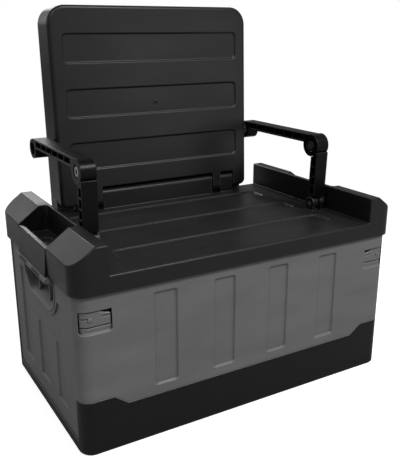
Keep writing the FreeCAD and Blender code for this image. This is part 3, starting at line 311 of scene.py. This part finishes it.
def foot_skirts(material):
    """Blocks that bring the two rear corners of the backrest's foot down to just above the lid."""
    sizes = {"Width": (SKIRT_OUTER_X - SKIRT_INNER_X) * MM, "Depth": (SKIRT_REAR - SKIRT_FRONT) * MM,
             "Height": (SKIRT_DROP + SKIRT_RISE) * MM, "Apart": (SKIRT_OUTER_X + SKIRT_INNER_X) * MM}
    tree, size = new_tree("foot_skirts", sizes)
    extent = add(tree, "ShaderNodeCombineXYZ", {"X": size["Width"], "Y": size["Depth"], "Z": size["Height"]})
    block = add(tree, "GeometryNodeMeshCube", {"Size": extent.outputs[0]})
    half = add(tree, "ShaderNodeMath", {0: size["Apart"], 1: -0.5}, operation="MULTIPLY")
    first = add(tree, "ShaderNodeCombineXYZ", {"X": half.outputs[0]})
    step = add(tree, "ShaderNodeCombineXYZ", {"X": size["Apart"]})
    ends = add(tree, "GeometryNodeMeshLine", {"Count": 2, "Start Location": first.outputs[0],
                                              "Offset": step.outputs[0]})
    pair = add(tree, "GeometryNodeInstanceOnPoints", {"Points": ends.outputs[0],
                                                      "Instance": block.outputs[0]})
    middle = on_backrest(0, (SKIRT_FRONT + SKIRT_REAR) / 2, (SKIRT_RISE - SKIRT_DROP) / 2)
    stood = add(tree, "GeometryNodeTransform", {0: pair.outputs[0], "Translation": middle,
                                                "Rotation": (math.radians(-BACK_LEAN), 0.0, 0.0)})
    return made_by(tree, stood.outputs[0], material, "foot_skirts")


def cover_screws(material):
    """Six cross-head screws that hold the rear cover of the backrest."""
    low, high = back_face(0, SCREW_ROW_LOW), back_face(0, SCREW_ROW_HIGH)
    rise = high - low
    tilt = math.atan2(rise.y, rise.z)
    sizes = {"Head Radius": HEAD_RADIUS * MM, "Head Height": HEAD_HEIGHT * MM, "Slot Width": SLOT_WIDTH * MM,
             "Slot Length": SLOT_LENGTH * MM, "Columns Apart": SCREW_COLUMNS_APART * MM,
             "Rows Apart": rise.length / 2}
    tree, size = new_tree("cover_screws", sizes)
    head = add(tree, "GeometryNodeMeshCylinder", {"Vertices": 28, "Radius": size["Head Radius"],
                                                  "Depth": size["Head Height"]})
    slots = []
    for order in (("Slot Length", "Slot Width"), ("Slot Width", "Slot Length")):
        extent = add(tree, "ShaderNodeCombineXYZ", {"X": size[order[0]], "Y": size[order[1]],
                                                    "Z": size["Head Height"]})
        bar = add(tree, "GeometryNodeMeshCube", {"Size": extent.outputs[0]})
        raised = add(tree, "ShaderNodeCombineXYZ", {"Z": size["Head Height"]})
        half = add(tree, "ShaderNodeVectorMath", {0: raised.outputs[0], "Scale": 0.5}, operation="SCALE")
        slots.append(add(tree, "GeometryNodeTransform", {0: bar.outputs[0], "Translation": half.outputs[0]}))
    cut = add(tree, "GeometryNodeMeshBoolean", {"Mesh 1": head.outputs[0]}, operation="DIFFERENCE")
    for bar in slots:
        tree.links.new(bar.outputs[0], cut.inputs["Mesh 2"])
    rows = add(tree, "ShaderNodeMath", {0: size["Rows Apart"], 1: 2.0}, operation="MULTIPLY")
    points = add(tree, "GeometryNodeMeshGrid", {"Size X": size["Columns Apart"], "Size Y": rows.outputs[0],
                                                "Vertices X": 2, "Vertices Y": 3})
    heads = add(tree, "GeometryNodeInstanceOnPoints", {"Points": points.outputs[0],
                                                       "Instance": cut.outputs[0]})
    middle = (low + high) / 2 + Vector((0, SCREW_PROUD * MM, 0))
    stood = add(tree, "GeometryNodeTransform", {0: heads.outputs[0], "Translation": middle,
                                                "Rotation": (math.radians(-90) - tilt, 0.0, 0.0)})
    return made_by(tree, stood.outputs[0], material, "cover_screws")


def panel_feet(material):
    """The hollow ramps in which the sunk panels of the front and rear walls run out at their foot.

    A roller laid along a block hollows it out to a ramp. Its radius follows from the ramp's height and depth.
    """
    sizes = {"Width": PANEL_WIDTH * MM, "Height": RAMP_HEIGHT * MM, "Depth": PANEL_DEPTH * MM,
             "Pitch": PANEL_PITCH * MM, "Foot": PANEL_FOOT_Z * MM, "Face": WALL_FACE_Y * MM}
    tree, size = new_tree("panel_feet", sizes)
    high = add(tree, "ShaderNodeMath", {0: size["Height"], 1: size["Height"]}, operation="MULTIPLY")
    chord = add(tree, "ShaderNodeMath", {0: size["Depth"], 1: size["Depth"], 2: high.outputs[0]},
                operation="MULTIPLY_ADD")
    twice = add(tree, "ShaderNodeMath", {0: size["Depth"], 1: 2.0}, operation="MULTIPLY")
    radius = add(tree, "ShaderNodeMath", {0: chord.outputs[0], 1: twice.outputs[0]}, operation="DIVIDE")
    length = add(tree, "ShaderNodeMath", {0: size["Width"], 1: 1.5}, operation="MULTIPLY")
    roller = add(tree, "GeometryNodeMeshCylinder", {"Vertices": 180, "Radius": radius.outputs[0],
                                                    "Depth": length.outputs[0]})
    half_high = add(tree, "ShaderNodeMath", {0: size["Height"], 1: 0.5}, operation="MULTIPLY")
    forward = add(tree, "ShaderNodeMath", {0: size["Depth"], 1: -0.5, 2: radius.outputs[0]},
                  operation="MULTIPLY_ADD")
    out = add(tree, "ShaderNodeMath", {0: forward.outputs[0], 1: -1.0}, operation="MULTIPLY")
    place = add(tree, "ShaderNodeCombineXYZ", {"Y": out.outputs[0], "Z": half_high.outputs[0]})
    laid = add(tree, "GeometryNodeTransform", {0: roller.outputs[0], "Translation": place.outputs[0],
                                               "Rotation": (0.0, math.radians(90), 0.0)})
    extent = add(tree, "ShaderNodeCombineXYZ", {"X": size["Width"], "Y": size["Depth"], "Z": size["Height"]})
    blank = add(tree, "GeometryNodeMeshCube", {"Size": extent.outputs[0]})
    ramp = add(tree, "GeometryNodeMeshBoolean", {"Mesh 1": blank.outputs[0]}, operation="DIFFERENCE")
    tree.links.new(laid.outputs[0], ramp.inputs["Mesh 2"])
    start = add(tree, "ShaderNodeMath", {0: size["Pitch"], 1: -(PANEL_COUNT - 1) / 2}, operation="MULTIPLY")
    inward = add(tree, "ShaderNodeMath", {0: size["Face"], 1: -1.0}, operation="MULTIPLY")
    sunk_y = add(tree, "ShaderNodeMath", {0: size["Depth"], 1: 0.5, 2: inward.outputs[0]},
                 operation="MULTIPLY_ADD")
    level = add(tree, "ShaderNodeMath", {0: size["Foot"], 1: half_high.outputs[0]}, operation="ADD")
    first = add(tree, "ShaderNodeCombineXYZ", {"X": start.outputs[0], "Y": sunk_y.outputs[0],
                                               "Z": level.outputs[0]})
    step = add(tree, "ShaderNodeCombineXYZ", {"X": size["Pitch"]})
    row = add(tree, "GeometryNodeMeshLine", {"Count": PANEL_COUNT, "Start Location": first.outputs[0],
                                             "Offset": step.outputs[0]})
    front = add(tree, "GeometryNodeInstanceOnPoints", {"Points": row.outputs[0],
                                                       "Instance": ramp.outputs[0]})
    rear = add(tree, "GeometryNodeTransform", {0: front.outputs[0],
                                               "Rotation": (0.0, 0.0, math.radians(180))})
    both = add(tree, "GeometryNodeJoinGeometry")
    for side in (front, rear):
        tree.links.new(side.outputs[0], both.inputs[0])
    return made_by(tree, both.outputs[0], material, "panel_feet")


def seen(tree):
    """One for rays that carry the background to the eye, straight or through a pane.

    Glossy rays are left out: they lay a pale veil on the black plastic.
    """
    path = add(tree, "ShaderNodeLightPath")
    either = add(tree, "ShaderNodeMath", {0: path.outputs["Is Camera Ray"],
                                          1: path.outputs["Is Transmission Ray"]}, operation="MAXIMUM")
    return either.outputs[0]


def white_floor():
    """Floor that is white to the camera but for the object's shadow, and throws back light as a grey one."""
    reach = FLOOR_REACH_M
    floor = bpy.data.meshes.new("floor")
    floor.from_pydata([(-reach, -reach, 0), (reach, -reach, 0), (reach, reach, 0), (-reach, reach, 0)], [],
                      [(0, 1, 2, 3)])
    ground = bpy.data.objects.new("floor", floor)
    bpy.context.scene.collection.objects.link(ground)
    material, t = new_material("White studio floor")
    paint([ground], material)
    matt = add(t, "ShaderNodeBsdfDiffuse", {"Color": (FLOOR_GREY, FLOOR_GREY, FLOOR_GREY, 1.0)})
    glow = add(t, "ShaderNodeEmission", {"Color": (1.0, 1.0, 1.0, 1.0), "Strength": FLOOR_GLOW})
    near = add(t, "ShaderNodeAddShader", {0: matt.outputs[0], 1: glow.outputs[0]})
    far = add(t, "ShaderNodeEmission", {"Color": (1.0, 1.0, 1.0, 1.0), "Strength": 1.0})
    spot = add(t, "ShaderNodeTexCoord")
    away = add(t, "ShaderNodeVectorMath", {0: spot.outputs["Object"]}, operation="LENGTH")
    share = add(t, "ShaderNodeMapRange", {"Value": away.outputs["Value"], "From Min": FADE_FROM_M,
                                          "From Max": FADE_TO_M})
    shown = add(t, "ShaderNodeMixShader", {0: share.outputs[0], 1: near.outputs[0], 2: far.outputs[0]})
    bounce = add(t, "ShaderNodeBsdfDiffuse", {"Color": (FLOOR_BOUNCE, FLOOR_BOUNCE, FLOOR_BOUNCE, 1.0)})
    pick = add(t, "ShaderNodeMixShader", {0: seen(t), 1: bounce.outputs[0], 2: shown.outputs[0]})
    add(t, "ShaderNodeOutputMaterial", {"Surface": pick.outputs[0]})


def white_world():
    """Surroundings that are white to the camera and light the object evenly."""
    world = bpy.data.worlds.new("studio")
    bpy.context.scene.world = world
    world.use_nodes = True
    t = world.node_tree
    t.nodes.clear()
    level = add(t, "ShaderNodeMapRange", {"Value": seen(t), "To Min": WORLD_LIGHT, "To Max": 1.0})
    sky = add(t, "ShaderNodeBackground", {"Color": (1.0, 1.0, 1.0, 1.0), "Strength": level.outputs[0]})
    add(t, "ShaderNodeOutputWorld", {"Surface": sky.outputs[0]})


def soft_box(name, place, aim, size, power):
    """Square area lamp that looks at its aim."""
    lamp = bpy.data.lights.new(name, "AREA")
    lamp.shape = "SQUARE"
    lamp.size = size
    lamp.energy = power
    holder = bpy.data.objects.new(name, lamp)
    holder.location = place
    holder.rotation_euler = (Vector(place) - Vector(aim)).to_track_quat("Z", "Y").to_euler()
    bpy.context.scene.collection.objects.link(holder)


def camera():
    """Camera at the photograph's place."""
    turn, tip = math.radians(CAMERA_TURN), math.radians(CAMERA_TIP)
    back = Vector((math.sin(turn) * math.cos(tip), -math.cos(turn) * math.cos(tip), math.sin(tip)))
    right = (-back).cross(Vector((0, 0, 1))).normalized()
    up = right.cross(-back)
    view = bpy.data.cameras.new("camera")
    view.lens = CAMERA_LENS
    view.sensor_width = CAMERA_SENSOR
    view.clip_end = 20.0
    holder = bpy.data.objects.new("camera", view)
    axes = Matrix((right, up, back)).transposed().to_4x4()
    holder.matrix_world = Matrix.Translation(CAMERA_PLACE_M) @ axes
    bpy.context.scene.collection.objects.link(holder)
    bpy.context.scene.camera = holder


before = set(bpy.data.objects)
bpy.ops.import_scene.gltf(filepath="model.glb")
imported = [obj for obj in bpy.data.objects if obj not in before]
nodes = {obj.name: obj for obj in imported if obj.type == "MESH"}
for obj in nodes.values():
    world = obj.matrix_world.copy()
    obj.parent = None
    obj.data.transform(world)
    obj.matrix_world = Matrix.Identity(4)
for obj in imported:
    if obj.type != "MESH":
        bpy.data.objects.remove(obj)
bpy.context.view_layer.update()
bpy.context.scene.view_settings.view_transform = "Standard"

# Lid and backrest are satin. The walls are matt grey, and the base is matt black and paler along its foot,
# from rubbing and a painted highlight. Posts and armrests are smoother and darker.
lid_plastic = moulded_plastic("Satin black polypropylene", "#161617", "#8A8A8B", 1.3, 0.36, 0.34)
wall_plastic = moulded_plastic("Dark grey polypropylene", "#686868", "#B8B8B8", 1.5, 0.44, 0.38)
base_plastic = moulded_plastic("Matt black polypropylene", "#0B0B0C", "#B4B5B6", 1.5, 0.42, 0.32,
                               foot_wear_and_highlight=0.65)
link_plastic = moulded_plastic("Glass-filled black nylon", "#09090A", "#4A4B4C", 1.0, 0.34, 0.16)
steel = plated_steel("Zinc-plated steel")

paint([nodes[n] for n in ("lid_shell", "backrest_shell", "backrest_cover")], lid_plastic)
paint([nodes[n] for n in ("front_wall", "rear_wall", "left_end_wall", "right_end_wall")], wall_plastic)
paint([nodes["base_tray"]], base_plastic)
for side in ("left", "right"):
    paint([nodes[side + "_latch_flap"]], lid_plastic)
    paint([nodes[side + n] for n in ("_armrest", "_post", "_rear_pin")], link_plastic)
    paint([nodes[side + n] for n in ("_latch_pin", "_foot_pin", "_elbow_pin")], steel)
paint([nodes["hinge_rod"]], steel)

ramps = panel_feet(wall_plastic)
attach(ramps, "crate")
for piece in (gate_mark(lid_plastic), foot_skirts(lid_plastic)):
    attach(piece, "backrest")
screws = cover_screws(steel)
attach(screws, "backrest")

white_floor()
white_world()
for box in SOFT_BOXES:
    soft_box(*box)
camera()
